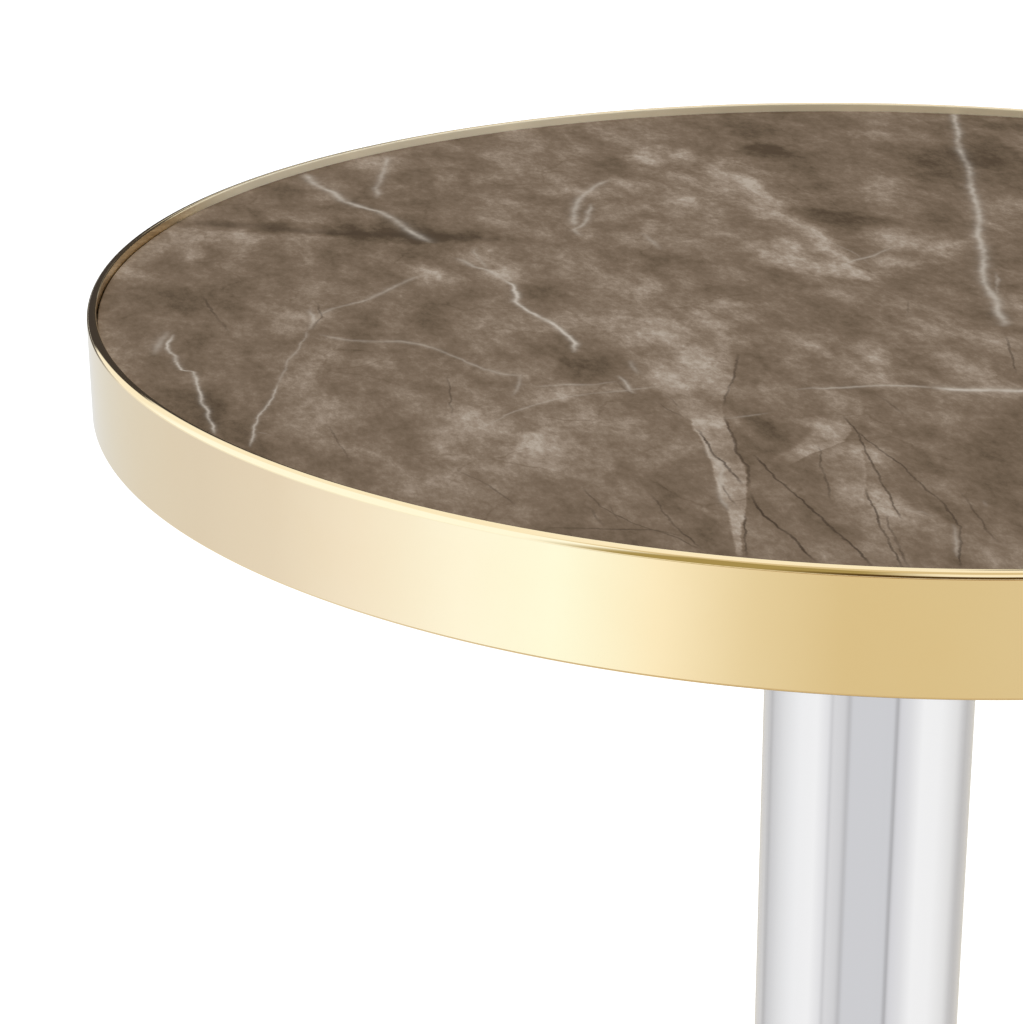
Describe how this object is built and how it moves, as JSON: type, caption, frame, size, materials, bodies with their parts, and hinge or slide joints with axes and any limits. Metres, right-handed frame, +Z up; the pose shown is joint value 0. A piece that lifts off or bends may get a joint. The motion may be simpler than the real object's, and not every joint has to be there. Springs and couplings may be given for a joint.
{
  "type": "round pedestal table",
  "caption": "Low round pedestal table: veined stone slab set in a polished gold metal rim, on a clear acrylic column and a weighted round base with levelling feet.",
  "frame": {"origin": "on the floor, at the foot of the column's axis", "axes": "+Z up along the column; +Y away from the viewer of the picture; +X to the viewer's right"},
  "size_m": [0.4999, 0.5, 0.5],
  "materials": {
    "gold_metal": "mirror-polished gold-coloured plating on stainless steel",
    "brown_stone": "polished brown marble with pale veins and dark cracks",
    "clear_acrylic": "polished clear cast acrylic",
    "core_board": "raw medium-density fibreboard",
    "black_laminate": "matt black backing laminate",
    "black_steel": "fine-textured black powder coat on steel",
    "zinc_steel": "bright zinc-plated steel",
    "insert_brass": "turned brass",
    "ballast_steel": "mill-finish steel plate",
    "underlay_felt": "black needle felt",
    "foot_nylon": "black moulded nylon"
  },
  "bodies": {
    "table": {"top_rim": "gold_metal", "stone_top": "brown_stone", "core_panel": "core_board", "rim_ledge": "black_steel", "ledge_screws": "zinc_steel", "underside_sheet": "black_laminate", "top_flange": "black_steel", "flange_screws": "zinc_steel", "upper_column_bolts": "zinc_steel", "upper_column_inserts": "insert_brass", "upper_collar": "gold_metal", "column": "clear_acrylic", "lower_collar": "gold_metal", "lower_column_inserts": "insert_brass", "lower_column_bolts": "zinc_steel", "base_shell": "gold_metal", "base_ballast": "ballast_steel", "base_underlay": "underlay_felt"},
    "foot_1": {"foot_stud_1": "zinc_steel", "foot_pad_1": "foot_nylon"},
    "foot_2": {"foot_stud_2": "zinc_steel", "foot_pad_2": "foot_nylon"},
    "foot_3": {"foot_stud_3": "zinc_steel", "foot_pad_3": "foot_nylon"},
    "foot_4": {"foot_stud_4": "zinc_steel", "foot_pad_4": "foot_nylon"}
  },
  "joints": [
    {"name": "foot_1_level", "type": "slide", "parent": "table", "child": "foot_1", "axis": [0, 0, -1], "range_m": [0, 0.006]},
    {"name": "foot_2_level", "type": "slide", "parent": "table", "child": "foot_2", "axis": [0, 0, -1], "range_m": [0, 0.006]},
    {"name": "foot_3_level", "type": "slide", "parent": "table", "child": "foot_3", "axis": [0, 0, -1], "range_m": [0, 0.006]},
    {"name": "foot_4_level", "type": "slide", "parent": "table", "child": "foot_4", "axis": [0, 0, -1], "range_m": [0, 0.006]}
  ]
}
